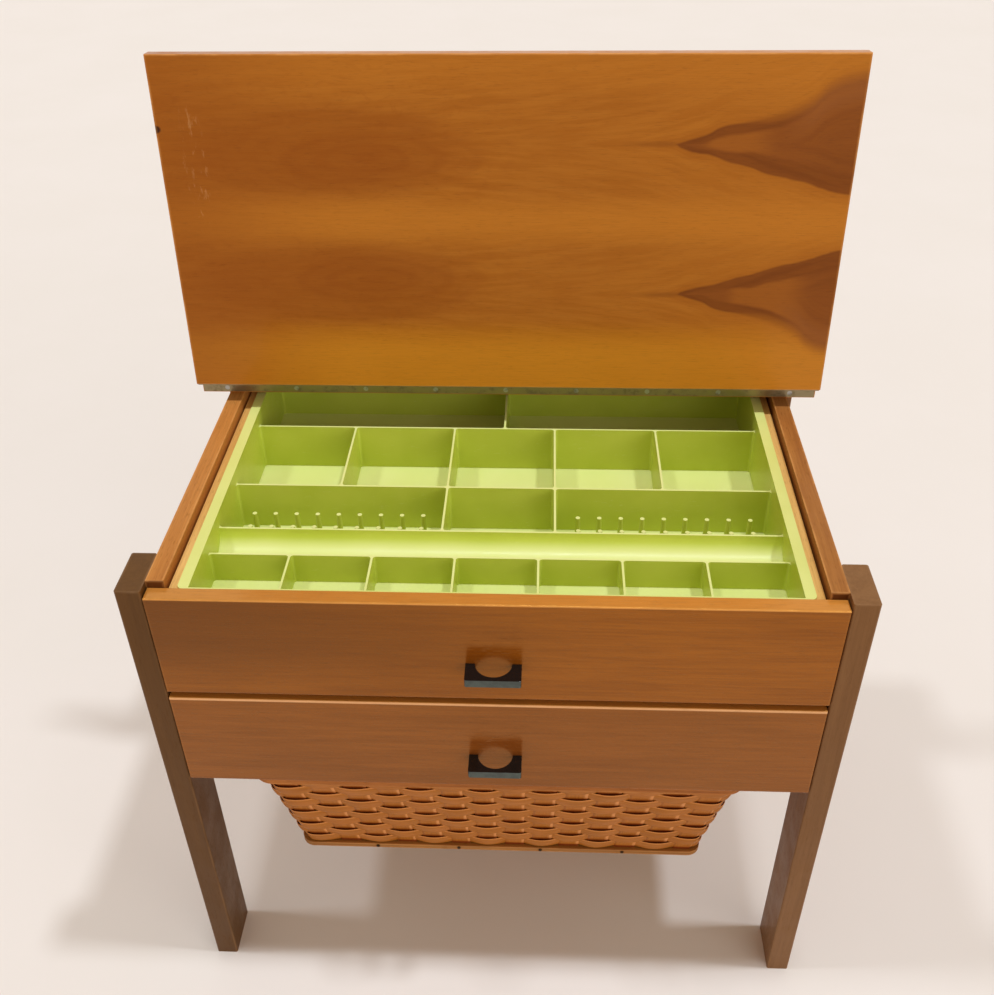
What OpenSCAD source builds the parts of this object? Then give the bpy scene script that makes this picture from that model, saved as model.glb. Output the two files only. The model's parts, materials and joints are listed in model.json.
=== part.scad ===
// Sewing cabinet on four board legs, millimetres, +Z up.
// The origin is on the floor, under the middle of the whole outline with the lid up.
// The case has a hinged lid, two drawers, a compartment tray and a hanging basket.

/* [Top boards] */
// Reach of the lid and of the fixed rear board past the legs at each side
top_side_reach = 6; // [2:0.5:35]
// Thickness of the fixed rear board
top_t = 16; // [15:0.5:22]
// Depth of the lid, from its front edge to its hinged edge
lid_d = 333; // [310:1:350]
// Angle of the raised lid, counted from closed
lid_open = 95.6; // [75:0.2:110]
// Gap left between the closed lid and the case
lid_rest_gap = 0.4; // [0.2:0.1:1]
// Reach of the closed lid past the legs at the front
top_front_reach = 6.5; // [0:0.5:12]
// Reach of the fixed rear board past the legs at the back
top_back_reach = 1.5; // [0:0.5:10]
// Rounding of the boards' long edges
edge_r = 1.5; // [0.5:0.25:3]

/* [Case] */
// Width over the outside of the legs
case_w = 650; // [630:1:652]
// Depth over the outside of the legs
case_d = 450; // [430:1:500]
// Height of the legs
leg_h = 550; // [500:1:650]
// Thickness of a leg, side to side
leg_t = 23; // [18:0.5:26]
// Depth of a leg, front to back
leg_d = 53; // [44:1:70]
// Rounding of a leg's upright edges
leg_r = 2; // [1:0.5:5]
// Thickness of the side panels
panel_t = 16; // [14:0.5:18]
// Thickness of the back panel
back_t = 6; // [4:0.5:9]
// Thickness of the bottom panel
bottom_t = 6; // [5:0.5:8]
// Height of the bottom panel above the lower edge of the case
bottom_rise = 2; // [1:0.5:3]
// Depth of the grooves that hold the bottoms
groove_d = 5; // [3:0.5:6]
// Depth of the rebates that hold the back panel
rebate_d = 8; // [7:0.5:10]

/* [Drawers] */
// Height of a drawer front
front_h = 114; // [104:1:124]
// Thickness of a drawer front
front_t = 16; // [13:0.5:20]
// How far the drawer fronts stand in front of the legs
front_proud = 1.5; // [0:0.25:4]
// Drop of the upper front below the top of the legs
top_reveal = 6.4; // [5:0.2:10]
// Gap between the two drawer fronts
front_gap = 7; // [3:0.5:12]
// Gap between a drawer front and each leg
front_side_gap = 1.5; // [1:0.25:4]
// Gap between a shut drawer front and the end of a side panel
front_stop_gap = 0.3; // [0.2:0.05:1]
// Thickness of the drawer sides and backs
side_t = 12; // [11:0.5:14]
// Gap between a drawer side and a side panel
side_gap = 2.5; // [1.5:0.25:4]
// Drop of a drawer side below the top of its front
side_drop = 3.6; // [2:0.2:6]
// Rise of a drawer side above the bottom of its front
side_rise = 10; // [9.5:0.5:16]
// Free space behind the drawers
drawer_back_gap = 25; // [10:1:60]
// Thickness of a drawer bottom
drawer_bottom_t = 4; // [3:0.5:6]
// Height of a drawer bottom above the lower edge of the drawer sides
drawer_bottom_rise = 8; // [5:0.5:12]
// Height of a drawer runner
runner_h = 12; // [8:0.5:18]
// Depth of the groove that a runner fills in a drawer side
runner_groove_d = 6.5; // [4:0.25:6.5]
// Drop of a runner's top below the top of the drawer side
runner_drop = 45; // [30:1:55]
// Running gap round a runner
run_gap = 0.3; // [0.2:0.05:0.5]
// Distance of the runners from the inside of the drawer front
runner_set_back = 8; // [4:1:30]

/* [Handles] */
// Width of a handle
handle_w = 50; // [44:1:70]
// Reach of a handle in front of the drawer
handle_out = 21; // [19:0.5:28]
// Height of a handle
handle_h = 8; // [7:0.5:12]
// Radius of the finger notch
handle_notch_r = 16.5; // [10:0.5:17]
// Drop of a handle's top below the middle of its drawer front
handle_drop = 12; // [4:1:30]
// Rounding of a handle's front corners
handle_corner_r = 2; // [1:0.5:4]

/* [Tray] */
// Wall and floor thickness of the tray
tray_wall = 2; // [1.5:0.25:2.5]
// Width of the flange that rests on the drawer sides
tray_flange = 10; // [8:0.5:12]
// Rim left between the flange and the outer edge of a drawer side
tray_flange_inset = 7.5; // [5:0.5:9]
// Drop of the partition tops below the tray rim
partition_drop = 14; // [8:0.5:20]
// Depth of the deep compartments below the partition tops
deep_floor = 51; // [46:0.5:54]
// Depth of the front row's compartments below the partition tops
shallow_floor = 31.5; // [24:0.5:40]
// Clear depth, front to back, of the front row
front_row_d = 62.7; // [50:0.5:70]
// Clear width of the half-round trough
trough_d = 36.8; // [28:0.5:40]
// Clear depth, front to back, of the spool row
spool_row_d = 68.5; // [60:0.5:80]
// Clear depth, front to back, of the middle row
middle_row_d = 106; // [90:1:115]
// Number of compartments in the front row
front_row_cells = 7; // [4:1:8]
// Number of compartments in the middle row
middle_row_cells = 5; // [5:2:7]
// Number of compartments in the rear row
rear_row_cells = 2; // [1:1:4]
// Corner radius of the compartments
cell_r = 3; // [1.5:0.25:5]
// Number of spool pegs in a row
peg_count = 9; // [4:1:9]
// Distance of the outer pegs from the ends of their compartment
peg_in = 21.8; // [12:0.1:30]
// Distance between the two rows of pegs
peg_row_gap = 20.5; // [16:0.5:34]
// Radius of a peg at its foot
peg_foot_r = 3; // [2.5:0.25:4]
// Radius of a peg at its tip
peg_tip_r = 2.2; // [1.5:0.1:2.5]
// Height of a peg
peg_h = 34; // [16:1:42]

/* [Hinge] */
// Thickness of a hinge leaf
leaf_t = 0.9; // [0.7:0.05:1.2]
// Height of a hinge leaf, measured from the pin
leaf_h = 14.2; // [13:0.1:14.5]
// Radius of the hinge pin
pin_r = 1; // [0.8:0.05:1.3]
// Running clearance round the hinge pin
pin_clear = 0.05; // [0.02:0.01:0.1]
// Wanted pitch of the hinge knuckles
knuckle_pitch = 22; // [16:1:40]
// Gap between neighbouring knuckles
knuckle_gap = 0.4; // [0.2:0.05:1]
// Gap between a knuckle and the wood behind its leaf
knuckle_seat_gap = 0.3; // [0.2:0.05:0.5]
// Distance from each end of the hinge to the end of the boards
hinge_inset = 1; // [0:0.5:10]
// Number of screws in a hinge leaf
hinge_screws = 9; // [3:2:9]
// Distance of the outer hinge screws from the ends of the hinge
hinge_screw_in = 26; // [12:0.2:60]
// Drop of the hinge screws below the pin
hinge_screw_drop = 9.5; // [7:0.1:9.8]

/* [Basket] */
// Distance of the woven basket's top from the inside of the side panels
basket_side_in = 41; // [36:1:75]
// Gap between the basket's rim and the back panel
basket_back_gap = 32; // [25:1:90]
// Height of the woven wall
basket_h = 125; // [90:1:150]
// How much the basket's left and right walls lean in towards its bottom
basket_side_taper = 28.5; // [8:0.5:40]
// How much the basket's front and back walls lean in towards its bottom
basket_front_taper = 19; // [8:1:30]
// Corner radius of the basket at its top
basket_r = 18; // [17:1:40]
// Corner radius of the basket at its bottom
basket_bottom_r = 14; // [10:1:24]
// Thickness of the woven wall
weave_t = 6; // [4:0.5:8]
// Thickness of the basket's bottom board
basket_board_t = 6; // [5:0.5:9]
// Height of the basket's wooden rim
rim_h = 20; // [14:1:26]
// Thickness of the basket's wooden rim
rim_t = 12; // [10:0.5:16]
// How far the rim stands outside the woven wall
rim_out = 4; // [1:0.5:6]
// Gap between the basket's rim and the case bottom
rim_gap = 9.6; // [4:0.2:14]
// Gap between the basket's rim and the back of the drawer fronts
basket_front_gap = 1.5; // [0.5:0.5:10]
// Height of the basket's slide strips
slide_h = 8; // [6:0.5:10]
// Width of the basket's slide strips
slide_w = 7; // [5:0.5:9]
// Drop of the slide strips below the top of the rim
slide_drop = 2; // [1:0.5:4]
// Width of the basket's guide battens
guide_w = 20; // [16:1:26]
// Gap between the rim and a guide batten
guide_gap = 1.2; // [0.8:0.1:2]
// Thickness of the guide batten's lip under the slide strip
guide_lip = 6; // [4:0.5:8]
// Number of nails along the front and back edges of the bottom board, the sides have one less
nail_count = 4; // [2:1:6]
// Distance of the outer nails from the corners of the bottom board
nail_in = 84; // [40:1:100]

/* [Fasteners] */
// Shank radius of the large wood screws
screw_r = 2; // [1.5:0.1:2.5]
// Head radius of the large wood screws
screw_head_r = 3.9; // [3.4:0.1:4.5]
// Shank radius of the small wood screws
small_screw_r = 1.3; // [1:0.1:1.5]
// Head radius of the small wood screws
small_head_r = 2.6; // [2.2:0.1:3]
// Clearance of a screw, nail or dowel in its hole
hole_clear = 0.1; // [0.05:0.05:0.2]
// Length of the leg screws
leg_screw_l = 32; // [26:1:34]
// Distance of the leg screws from the upper and lower ends of the side panels
leg_screw_in = 26; // [20:1:40]
// Length of the runner screws
runner_screw_l = 20; // [16:1:21]
// Distance of the runner screws from the ends of the runners
runner_screw_in = 45; // [25:1:80]
// Length of the hinge screws
hinge_screw_l = 14; // [10:1:20]
// Length of the back panel screws
back_screw_l = 20; // [14:1:24]
// Distance of the back panel screws from the panel's upper and lower edges
back_screw_in = 24; // [12:1:40]
// Length of the guide batten screws
guide_screw_l = 18; // [12:1:20]
// Distance of the outer guide batten screws from the ends of the battens
guide_screw_in = 46; // [20:1:100]
// Radius of the dowels under the fixed board
dowel_r = 4; // [3:0.5:4.5]
// Depth of a dowel in the fixed board
dowel_up = 10; // [7:0.5:12]
// Depth of a dowel in a side panel
dowel_down = 18; // [12:1:25]
// Distance of the front dowels from the fixed board's front edge
dowel_front_in = 32; // [15:1:40]
// Distance of the rear dowels from the back panel
dowel_rear_in = 22; // [10:1:35]
// Shank radius of the basket nails
nail_r = 0.8; // [0.6:0.1:1]
// Head radius of the basket nails
nail_head_r = 1.8; // [1.4:0.1:2.4]
// Length of the basket nails
nail_l = 16; // [10:1:20]

/* [Hidden] */

teak = "#9a5a2c";
teak_light = "#b9762f";
dark_leg = "#5f4630";
beech = "#cfa873";
plywood = "#c9a877";
lime = "#a9c04a";
steel = "#b9b6ae";
black_plastic = "#1d1d1f";
cane = "#b5783c";

round_fn = 48;
hull_fn = 32;
eps = 0.01;

// Hinge sizes, measured from the middle of the pin
top_w = case_w + 2 * top_side_reach;
knuckle_r = pin_r + pin_clear + leaf_t;
leaf_back = knuckle_r + knuckle_seat_gap;
leaf_top = knuckle_r + knuckle_gap;
hinge_l = top_w - 2 * hinge_inset;
knuckles = 2 * floor(hinge_l / (2 * knuckle_pitch)) + 1;
knuckle_l = hinge_l / knuckles;
hinge_screw_pitch = (hinge_l - 2 * hinge_screw_in) / (hinge_screws - 1);

// Depths from the front plane of the legs, then the shift that centres the outline
pin_from_legs = lid_d + leaf_back - top_front_reach;
outline_front = -front_proud - handle_out;
lid_reach = pin_from_legs - (lid_d + leaf_back) * cos(lid_open);
outline_back = max(case_d + top_back_reach, lid_reach);
y0 = -(outline_front + outline_back) / 2;

// Planes of the case
leg_x = case_w / 2;
panel_x = leg_x - leg_t;
inner_x = panel_x - panel_t;
case_y1 = y0 + case_d;
back_y = case_y1 - back_t;
front_y = y0 - front_proud;
front_back_y = front_y + front_t;
panel_y = front_back_y + front_stop_gap;
case_z = leg_h - top_reveal - 2 * front_h - front_gap;
bottom_z = case_z + bottom_rise;
bottom_top_z = bottom_z + bottom_t;
pin_y = y0 + pin_from_legs;
pin_z = leg_h + top_t;
lid_t = top_t - lid_rest_gap;

// Planes of the drawers
upper_z = leg_h - top_reveal - front_h;
lower_z = upper_z - front_gap - front_h;
front_x = panel_x - front_side_gap;
side_x = inner_x - side_gap;
side_in_x = side_x - side_t;
side_h = front_h - side_drop - side_rise;
drawer_y1 = back_y - drawer_back_gap;
drawer_back_y = drawer_y1 - side_t;
runner_reach = side_gap + runner_groove_d - run_gap;
runner_z = side_h - runner_drop - runner_h;
runner_y0 = front_back_y + runner_set_back;
runner_y1 = back_y - runner_set_back;
runner_screw_y = [runner_y0 + runner_screw_in, runner_y1 - runner_screw_in];

// Planes of the tray
tray_rim_z = upper_z + front_h - side_drop + tray_wall;
tray_x = side_x - tray_flange_inset;
cell_x = tray_x - tray_flange;
wall_x = cell_x + tray_wall;
tray_y0 = front_back_y + front_stop_gap;
tray_y1 = drawer_back_y - front_stop_gap;
tray_flange_y1 = drawer_y1 - tray_flange_inset;
partition_z = tray_rim_z - partition_drop;
deep_z = partition_z - deep_floor;
shallow_z = partition_z - shallow_floor;
front_row_y = tray_y0 + tray_wall;
trough_y = front_row_y + front_row_d + tray_wall;
spool_row_y = trough_y + trough_d + tray_wall;
middle_row_y = spool_row_y + spool_row_d + tray_wall;
rear_row_y = middle_row_y + middle_row_d + tray_wall;
rear_row_d = tray_y1 - tray_wall - rear_row_y;
middle_cell_w = (2 * cell_x - (middle_row_cells - 1) * tray_wall) / middle_row_cells;
spool_cell_w = cell_x - middle_cell_w / 2 - tray_wall;
peg_mid_x = middle_cell_w / 2 + tray_wall + spool_cell_w / 2;
peg_mid_y = spool_row_y + spool_row_d / 2;
peg_pitch = (spool_cell_w - 2 * peg_in) / (peg_count - 1);

// Planes of the basket
rim_top_z = bottom_z - rim_gap;
wall_top_z = rim_top_z - rim_h;
wall_bottom_z = wall_top_z - basket_h;
basket_w = 2 * (inner_x - basket_side_in);
rim_w = basket_w + 2 * rim_out;
rim_y0 = front_back_y + basket_front_gap;
rim_d = back_y - basket_back_gap - rim_y0;
basket_d = rim_d - 2 * rim_out;
basket_mid_y = rim_y0 + rim_d / 2;
board_w = basket_w - 2 * basket_side_taper;
board_d = basket_d - 2 * basket_front_taper;
rim_r = basket_r + rim_out;
slide_z = rim_top_z - slide_drop - slide_h;
slide_l = rim_d - 2 * rim_r;
guide_x = rim_w / 2 + guide_gap;
guide_z = slide_z - run_gap - guide_lip;
guide_groove_d = slide_w - guide_gap + run_gap;
guide_y0 = rim_y0 + rim_r;
guide_y1 = back_y - runner_set_back;
guide_screw_y = [guide_y0 + guide_screw_in, (guide_y0 + guide_y1) / 2, guide_y1 - guide_screw_in];

// Screw places
front_leg_screw_y = (panel_y + y0 + leg_d) / 2;
rear_leg_screw_y = case_y1 - back_t - (leg_d - back_t) / 2;
leg_screw_z = [case_z + leg_screw_in, leg_h - leg_screw_in];
handle_screw_x = handle_w / 2 - (handle_w / 2 - handle_notch_r) / 2;
handle_screw_l = front_t + handle_out / 2;
dowel_y = [pin_y + leaf_back + dowel_front_in, back_y - dowel_rear_in];
back_screw_x = inner_x + rebate_d / 2;
back_screw_z = [case_z + back_screw_in, (case_z + leg_h) / 2, leg_h - back_screw_in];

// Rectangle with its corner at the origin and four rounded corners
module soft_rect(w, h, r) {
    translate([r, 0])
        square([w - 2 * r, h]);
    translate([0, r])
        square([w, h - 2 * r]);
    for (x = [r, w - r], y = [r, h - r])
        translate([x, y])
            circle(r = r, $fn = round_fn);
}

// Upright slab centred on x and y, with rounded corners in plan
module plan_slab(w, d, r, h) {
    translate([-w / 2, -d / 2, 0])
        linear_extrude(h)
            soft_rect(w, d, r);
}

// Board centred on x, with its four long edges rounded
module long_board(w, y, d, z, t) {
    translate([-w / 2, y, z])
        rotate([90, 0, 90])
            linear_extrude(w)
                soft_rect(d, t, edge_r);
}

// Box between two planes on each axis
module between(x, y, z) {
    translate([x[0], y[0], z[0]])
        cube([x[1] - x[0], y[1] - y[0], z[1] - z[0]]);
}

// Places the right-hand children on the side asked for
module on_side(s) {
    if (s > 0)
        children();
    else
        mirror([1, 0, 0])
            children();
}

// Swings what is drawn with the lid shut up to the raised lid
module raised() {
    translate([0, pin_y, pin_z])
        rotate([-lid_open, 0, 0])
            children();
}

// Countersunk screw with its head's face at the origin, pointing along +Z
module wood_screw(r, head_r, l) {
    sink = head_r - r;
    cylinder(r1 = head_r, r2 = r, h = sink, $fn = round_fn);
    translate([0, 0, sink - eps])
        cylinder(r = r, h = l - sink - 2 * r + eps, $fn = round_fn);
    translate([0, 0, l - 2 * r - eps])
        cylinder(r1 = r, r2 = r / 4, h = 2 * r, $fn = round_fn);
}

// Hole that takes a countersunk screw with the hole clearance all round
module screw_hole(r, head_r, l) {
    sink = head_r - r;
    translate([0, 0, -eps])
        cylinder(r1 = head_r + hole_clear + eps, r2 = r + hole_clear, h = sink + eps, $fn = round_fn);
    cylinder(r = r + hole_clear, h = l + hole_clear, $fn = round_fn);
}

// Places of the leg screws on the right side, pointing outwards
module at_leg_screws() {
    for (y = [front_leg_screw_y, rear_leg_screw_y], z = leg_screw_z)
        translate([inner_x, y, z])
            rotate([0, 90, 0])
                children();
}

// Places of the runner screws for a drawer whose front starts at z
module at_runner_screws(z) {
    for (y = runner_screw_y)
        translate([inner_x - runner_reach, y, z + side_rise + runner_z + runner_h / 2])
            rotate([0, 90, 0])
                children();
}

// Places of the dowels on the right side, at the joint under the fixed board
module at_dowels() {
    for (y = dowel_y)
        translate([panel_x - panel_t / 2, y, leg_h])
            children();
}

// Places of the back panel screws on the right side, pointing forwards
module at_back_screws() {
    for (z = back_screw_z)
        translate([back_screw_x, case_y1, z])
            rotate([90, 0, 0])
                children();
}

// Places of the guide batten screws on the right side, pointing down
module at_guide_screws() {
    for (y = guide_screw_y)
        translate([guide_x + guide_w - (guide_w - guide_groove_d) / 2, y, bottom_top_z])
            rotate([180, 0, 0])
                children();
}

// Places of the hinge screws on the closed leaf of one side, 1 for the fixed side
module at_hinge_screws(s) {
    for (i = [0 : hinge_screws - 1])
        translate([
            (i - (hinge_screws - 1) / 2) * hinge_screw_pitch,
            s * (leaf_back - leaf_t),
            -hinge_screw_drop
        ])
            rotate([-90 * s, 0, 0])
                children();
}

// Places of the handle screws for a drawer whose front starts at z, pointing forwards
module at_handle_screws(z) {
    for (x = [-handle_screw_x, handle_screw_x])
        translate([x, front_back_y, z + front_h / 2 - handle_drop - handle_h / 2])
            rotate([90, 0, 0])
                children();
}

// Places of the nails round the bottom board's edge, pointing inwards
module at_nails() {
    board_z = wall_bottom_z - basket_board_t / 2;
    side_nails = max(2, nail_count - 1);
    for (edge = [[0, board_w, board_d, nail_count], [180, board_w, board_d, nail_count],
                 [90, board_d, board_w, side_nails], [270, board_d, board_w, side_nails]])
        for (i = [0 : edge[3] - 1])
            translate([0, basket_mid_y, board_z])
                rotate([0, 0, edge[0]])
                    translate([(edge[1] / 2 - nail_in) * (2 * i / (edge[3] - 1) - 1), -edge[2] / 2, 0])
                        rotate([-90, 0, 0])
                            children();
}

// Leg on the right side with its front face at y
module leg(y) {
    color(dark_leg)
        difference() {
            translate([panel_x, y, 0])
                linear_extrude(leg_h)
                    soft_rect(leg_t, leg_d, leg_r);
            at_leg_screws()
                screw_hole(screw_r, screw_head_r, leg_screw_l);
        }
}

module front_left_leg() {
    on_side(-1)
        leg(y0);
}

module front_right_leg() {
    on_side(1)
        leg(y0);
}

module rear_left_leg() {
    on_side(-1)
        leg(case_y1 - leg_d);
}

module rear_right_leg() {
    on_side(1)
        leg(case_y1 - leg_d);
}

// Side panel with the groove for the bottom panel and the rebate for the back panel
module side_panel() {
    color(teak)
        difference() {
            between([inner_x, panel_x], [panel_y, case_y1], [case_z, leg_h]);
            between([inner_x - eps, inner_x + groove_d], [panel_y - eps, back_y + eps],
                    [bottom_z, bottom_top_z]);
            between([inner_x - eps, inner_x + rebate_d], [back_y, case_y1 + eps],
                    [case_z - eps, leg_h + eps]);
            at_leg_screws()
                screw_hole(screw_r, screw_head_r, leg_screw_l);
            for (z = [upper_z, lower_z])
                at_runner_screws(z)
                    screw_hole(screw_r, screw_head_r, runner_screw_l);
            at_dowels()
                translate([0, 0, -dowel_down - hole_clear])
                    cylinder(r = dowel_r + hole_clear, h = dowel_down + 1, $fn = round_fn);
            at_back_screws()
                screw_hole(small_screw_r, small_head_r, back_screw_l);
        }
}

module left_side_panel() {
    on_side(-1)
        side_panel();
}

module right_side_panel() {
    on_side(1)
        side_panel();
}

module back_panel() {
    back_x = inner_x + rebate_d;
    color(plywood)
        difference() {
            between([-back_x, back_x], [back_y, case_y1], [case_z, leg_h]);
            for (s = [-1, 1])
                on_side(s)
                    at_back_screws()
                        screw_hole(small_screw_r, small_head_r, back_screw_l);
        }
}

module bottom_panel() {
    bottom_x = inner_x + groove_d;
    color(plywood)
        difference() {
            between([-bottom_x, bottom_x], [panel_y, back_y], [bottom_z, bottom_top_z]);
            for (s = [-1, 1])
                on_side(s)
                    at_guide_screws()
                        screw_hole(screw_r, screw_head_r, guide_screw_l);
        }
}

module rear_top_board() {
    board_y = pin_y + leaf_back;
    color(teak_light)
        difference() {
            long_board(top_w, board_y, case_y1 + top_back_reach - board_y, leg_h, top_t);
            for (s = [-1, 1])
                on_side(s)
                    at_dowels()
                        translate([0, 0, -1])
                            cylinder(r = dowel_r + hole_clear, h = dowel_up + hole_clear + 1, $fn = round_fn);
            translate([0, pin_y, pin_z])
                at_hinge_screws(1)
                    screw_hole(small_screw_r, small_head_r, hinge_screw_l);
        }
}

module leg_screws() {
    color(steel)
        for (s = [-1, 1])
            on_side(s)
                at_leg_screws()
                    wood_screw(screw_r, screw_head_r, leg_screw_l);
}

module back_panel_screws() {
    color(steel)
        for (s = [-1, 1])
            on_side(s)
                at_back_screws()
                    wood_screw(small_screw_r, small_head_r, back_screw_l);
}

module top_board_dowels() {
    color(beech)
        for (s = [-1, 1])
            on_side(s)
                at_dowels()
                    translate([0, 0, -dowel_down])
                        cylinder(r = dowel_r, h = dowel_down + dowel_up, $fn = round_fn);
}

// Wooden strip that a drawer slides on, for a drawer whose front starts at z
module runner(z) {
    color(beech)
        difference() {
            between([inner_x - runner_reach, inner_x], [runner_y0, runner_y1],
                    [z + side_rise + runner_z, z + side_rise + runner_z + runner_h]);
            at_runner_screws(z)
                screw_hole(screw_r, screw_head_r, runner_screw_l);
        }
}

module upper_left_runner() {
    on_side(-1)
        runner(upper_z);
}

module upper_right_runner() {
    on_side(1)
        runner(upper_z);
}

module lower_left_runner() {
    on_side(-1)
        runner(lower_z);
}

module lower_right_runner() {
    on_side(1)
        runner(lower_z);
}

module runner_screws() {
    color(steel)
        for (s = [-1, 1], z = [upper_z, lower_z])
            on_side(s)
                at_runner_screws(z)
                    wood_screw(screw_r, screw_head_r, runner_screw_l);
}

// Grooved batten under the case that carries one side of the basket
module basket_guide() {
    color(beech)
        difference() {
            between([guide_x, guide_x + guide_w], [guide_y0, guide_y1], [guide_z, bottom_z]);
            between([guide_x - eps, guide_x + guide_groove_d], [guide_y0 - eps, guide_y1 + eps],
                    [slide_z - run_gap, slide_z + slide_h + run_gap]);
            at_guide_screws()
                screw_hole(screw_r, screw_head_r, guide_screw_l);
        }
}

module left_basket_guide() {
    on_side(-1)
        basket_guide();
}

module right_basket_guide() {
    on_side(1)
        basket_guide();
}

module basket_guide_screws() {
    color(steel)
        for (s = [-1, 1])
            on_side(s)
                at_guide_screws()
                    wood_screw(screw_r, screw_head_r, guide_screw_l);
}

// Hinge leaf in the closed place round the pin, 1 for the fixed side and -1 for the lid.
// Each leaf is cut away where the other leaf's knuckles turn.
module hinge_leaf(s) {
    first = s > 0 ? 0 : 1;
    color(steel)
        difference() {
            union() {
                plate_y = s > 0 ? leaf_back - leaf_t : -leaf_back;
                translate([-hinge_l / 2, plate_y, -leaf_h])
                    cube([hinge_l, leaf_t, leaf_h - leaf_top]);
                for (i = [first : 2 : knuckles - 1])
                    translate([-hinge_l / 2 + i * knuckle_l + knuckle_gap / 2, 0, 0]) {
                        translate([0, plate_y, -leaf_top - eps])
                            cube([knuckle_l - knuckle_gap, leaf_t, leaf_top + eps]);
                        rotate([0, 90, 0])
                            cylinder(r = knuckle_r, h = knuckle_l - knuckle_gap, $fn = round_fn);
                    }
            }
            translate([-hinge_l / 2 - 1, 0, 0])
                rotate([0, 90, 0])
                    cylinder(r = pin_r + pin_clear, h = hinge_l + 2, $fn = round_fn);
            at_hinge_screws(s)
                screw_hole(small_screw_r, small_head_r, hinge_screw_l);
        }
}

module hinge_fixed_leaf() {
    translate([0, pin_y, pin_z])
        hinge_leaf(1);
}

module hinge_pin() {
    color(steel)
        translate([-hinge_l / 2, pin_y, pin_z])
            rotate([0, 90, 0])
                cylinder(r = pin_r, h = hinge_l, $fn = round_fn);
}

module hinge_fixed_screws() {
    color(steel)
        translate([0, pin_y, pin_z])
            at_hinge_screws(1)
                wood_screw(small_screw_r, small_head_r, hinge_screw_l);
}

module lid_panel() {
    color(teak_light)
        raised()
            difference() {
                long_board(top_w, -leaf_back - lid_d, lid_d, -lid_t, lid_t);
                at_hinge_screws(-1)
                    screw_hole(small_screw_r, small_head_r, hinge_screw_l);
            }
}

module hinge_lid_leaf() {
    raised()
        hinge_leaf(-1);
}

module hinge_lid_screws() {
    color(steel)
        raised()
            at_hinge_screws(-1)
                wood_screw(small_screw_r, small_head_r, hinge_screw_l);
}

// Space that a drawer bottom fills in the boards round it
module drawer_bottom_space(z) {
    slot_z = z + side_rise + drawer_bottom_rise;
    between([-side_in_x - groove_d, side_in_x + groove_d],
            [front_back_y - groove_d, drawer_back_y + groove_d],
            [slot_z, slot_z + drawer_bottom_t]);
}

module drawer_front(z) {
    color(teak)
        difference() {
            long_board(2 * front_x, front_y, front_t, z, front_h);
            drawer_bottom_space(z);
            at_handle_screws(z)
                screw_hole(screw_r, screw_head_r, handle_screw_l);
        }
}

// Drawer side with the runner's groove outside and the bottom's groove inside
module drawer_side(z) {
    groove_z = z + side_rise + runner_z;
    color(beech)
        difference() {
            between([side_in_x, side_x], [front_back_y, drawer_y1],
                    [z + side_rise, z + side_rise + side_h]);
            between([side_x - runner_groove_d, side_x + eps], [front_back_y - eps, drawer_y1 + eps],
                    [groove_z - run_gap, groove_z + runner_h + run_gap]);
            drawer_bottom_space(z);
        }
}

module drawer_back(z) {
    color(beech)
        difference() {
            between([-side_in_x, side_in_x], [drawer_back_y, drawer_y1],
                    [z + side_rise, z + side_rise + side_h]);
            drawer_bottom_space(z);
        }
}

module drawer_bottom(z) {
    color(plywood)
        drawer_bottom_space(z);
}

// Finger pull: a solid bar with a half-round notch against the drawer front
module handle(z) {
    top_z = z + front_h / 2 - handle_drop;
    color(black_plastic)
        difference() {
            translate([0, front_y, top_z - handle_h])
                linear_extrude(handle_h)
                    difference() {
                        union() {
                            translate([-handle_w / 2, -handle_out])
                                soft_rect(handle_w, handle_out, handle_corner_r);
                            translate([-handle_w / 2, -handle_out / 2])
                                square([handle_w, handle_out / 2]);
                        }
                        circle(r = handle_notch_r, $fn = round_fn);
                    }
            at_handle_screws(z)
                screw_hole(screw_r, screw_head_r, handle_screw_l);
        }
}

module handle_screws(z) {
    color(steel)
        at_handle_screws(z)
            wood_screw(screw_r, screw_head_r, handle_screw_l);
}

module upper_drawer_front() {
    drawer_front(upper_z);
}

module upper_drawer_left_side() {
    on_side(-1)
        drawer_side(upper_z);
}

module upper_drawer_right_side() {
    on_side(1)
        drawer_side(upper_z);
}

module upper_drawer_back() {
    drawer_back(upper_z);
}

module upper_drawer_bottom() {
    drawer_bottom(upper_z);
}

module upper_drawer_handle() {
    handle(upper_z);
}

module upper_handle_screws() {
    handle_screws(upper_z);
}

module lower_drawer_front() {
    drawer_front(lower_z);
}

module lower_drawer_left_side() {
    on_side(-1)
        drawer_side(lower_z);
}

module lower_drawer_right_side() {
    on_side(1)
        drawer_side(lower_z);
}

module lower_drawer_back() {
    drawer_back(lower_z);
}

module lower_drawer_bottom() {
    drawer_bottom(lower_z);
}

module lower_drawer_handle() {
    handle(lower_z);
}

module lower_handle_screws() {
    handle_screws(lower_z);
}

// One row of equal compartments, cut down to z
module cell_row(y, d, z, count) {
    cell_w = (2 * cell_x - (count - 1) * tray_wall) / count;
    for (i = [0 : count - 1])
        translate([-cell_x + i * (cell_w + tray_wall), y, z])
            linear_extrude(tray_rim_z - z)
                soft_rect(cell_w, d, cell_r);
}

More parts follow.
